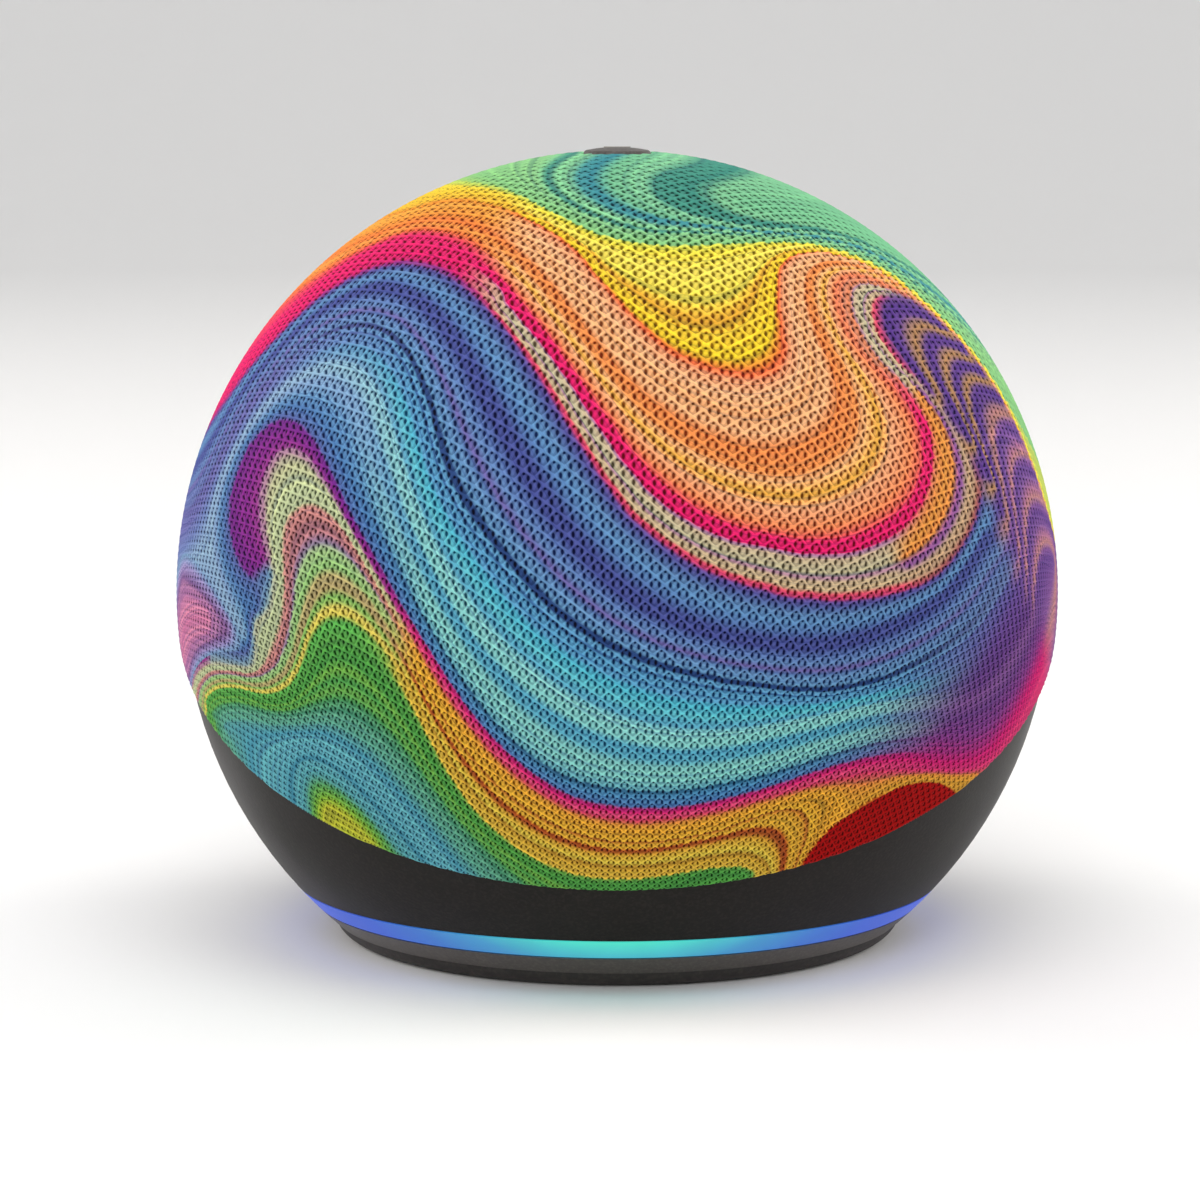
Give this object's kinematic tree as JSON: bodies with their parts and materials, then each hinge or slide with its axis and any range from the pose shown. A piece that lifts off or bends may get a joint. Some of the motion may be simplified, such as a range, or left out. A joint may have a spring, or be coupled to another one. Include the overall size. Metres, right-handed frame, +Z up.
{
  "type": "smart speaker",
  "caption": "Ball-shaped smart speaker: printed knit sleeve over a grille, tilted lower housing, light ring, rubber foot, sprung top buttons, driver and boards inside.",
  "frame": {"origin": "centre of the foot's underside, on the surface it stands on", "axes": "+Z up, front towards -Y, sockets towards +Y"},
  "size_m": [0.1, 0.0993, 0.0894],
  "materials": {
    "printed_knit": "marbled print, matt",
    "inner_plastic": "matt",
    "screw_steel": "satin",
    "silicone": "matt",
    "circuit_board": "satin solder mask",
    "housing_plastic": "fine satin",
    "ring_diffuser": "lit, turquoise to blue",
    "clear_acrylic": "polished",
    "chip_white": "gloss",
    "base_plastic": "satin",
    "foot_rubber": "matt",
    "thermal_silicone": "matt",
    "spreader_aluminium": "brushed",
    "chip_black": "matt",
    "socket_plastic": "satin",
    "antenna_film": "satin",
    "flex_film": "satin",
    "basket_steel": "matt black",
    "motor_iron": "plated",
    "magnet_ferrite": "matt",
    "surround_rubber": "satin",
    "spider_cloth": "matt",
    "lead_copper": "bare",
    "cone_paper": "matt pulp",
    "coil_copper": "enamelled",
    "button_plastic": "fine satin"
  },
  "bodies": {
    "speaker_body": {"fabric_sleeve": "printed_knit", "grille_dome": "inner_plastic", "button_frame": "inner_plastic", "frame_screws": "screw_steel", "key_mat": "silicone", "control_board": "circuit_board", "tact_switches": "screw_steel", "microphones": "screw_steel", "lower_housing": "housing_plastic", "light_ring": "ring_diffuser", "light_guide": "clear_acrylic", "led_board": "circuit_board", "led_chips": "chip_white", "base_plate": "base_plastic", "base_screws": "screw_steel", "rubber_foot": "foot_rubber", "main_board": "circuit_board", "shield_cans": "screw_steel", "thermal_pads": "thermal_silicone", "heat_spreader": "spreader_aluminium", "board_chips": "chip_black", "dc_inlet": "socket_plastic", "audio_socket": "socket_plastic", "enclosure_front": "inner_plastic", "enclosure_seal": "silicone", "enclosure_rear": "inner_plastic", "antennas": "antenna_film", "control_flex": "flex_film", "driver_basket": "basket_steel", "driver_gasket": "silicone", "driver_screws": "screw_steel", "front_plate": "motor_iron", "ring_magnet": "magnet_ferrite", "back_yoke": "motor_iron", "cone_surround": "surround_rubber", "spider": "spider_cloth", "speaker_leads": "lead_copper"},
    "diaphragm": {"driver_cone": "cone_paper", "dust_cap": "cone_paper", "voice_coil": "coil_copper"},
    "volume_down_button": {"volume_down_cap": "button_plastic"},
    "action_button": {"action_cap": "button_plastic"},
    "volume_up_button": {"volume_up_cap": "button_plastic"},
    "microphone_button": {"microphone_cap": "button_plastic"}
  },
  "joints": [
    {"name": "volume_down_press", "type": "slide", "parent": "speaker_body", "child": "volume_down_button", "axis": [0, 0, -1], "range_m": [0, 0.0006], "stiffness_N_per_m": 2500},
    {"name": "action_press", "type": "slide", "parent": "speaker_body", "child": "action_button", "axis": [-0.2198, -0.2145, -0.9517], "range_m": [0, 0.0006], "stiffness_N_per_m": 2500},
    {"name": "volume_up_press", "type": "slide", "parent": "speaker_body", "child": "volume_up_button", "axis": [0, -0.4289, -0.9033], "range_m": [0, 0.0006], "stiffness_N_per_m": 2500},
    {"name": "microphone_press", "type": "slide", "parent": "speaker_body", "child": "microphone_button", "axis": [0.2198, -0.2145, -0.9517], "range_m": [0, 0.0006], "stiffness_N_per_m": 2500},
    {"name": "driver_stroke", "type": "slide", "parent": "speaker_body", "child": "diaphragm", "axis": [0, -1, 0], "range_m": [-0.0014, 0.0014], "stiffness_N_per_m": 2000}
  ]
}
